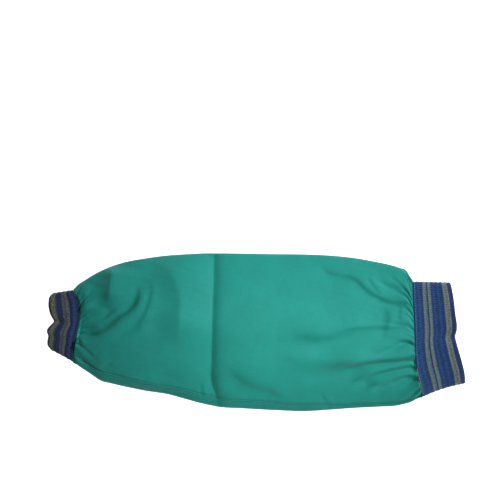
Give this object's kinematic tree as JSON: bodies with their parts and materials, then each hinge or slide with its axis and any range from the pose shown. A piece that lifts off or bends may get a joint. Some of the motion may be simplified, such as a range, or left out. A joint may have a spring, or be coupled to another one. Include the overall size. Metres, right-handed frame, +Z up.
{
  "type": "welding sleeve",
  "caption": "Protective arm sleeve of green work cotton, lying flat: a tapered tube with a stitched side seam, gathered into a striped elastic knit cuff at the wrist and at the upper arm.",
  "frame": {"origin": "on the table that the sleeve lies on, under the middle of its outline's box", "axes": "+X from the wrist cuff to the upper arm cuff, +Y towards the plain folded edge, +Z up from the table"},
  "size_m": [0.5296, 0.2012, 0.0341],
  "materials": {
    "cotton_cloth": "twill-woven green work cotton, matt",
    "cotton_seam": "the same cotton, turned and topstitched",
    "wrist_knit": "elastic knit in navy, blue and grey stripes",
    "arm_knit": "elastic knit in blue, grey and navy stripes"
  },
  "bodies": {
    "root": {"sleeve_body": "cotton_cloth", "side_seam": "cotton_seam", "wrist_cuff": "wrist_knit", "arm_cuff": "arm_knit"}
  },
  "joints": []
}
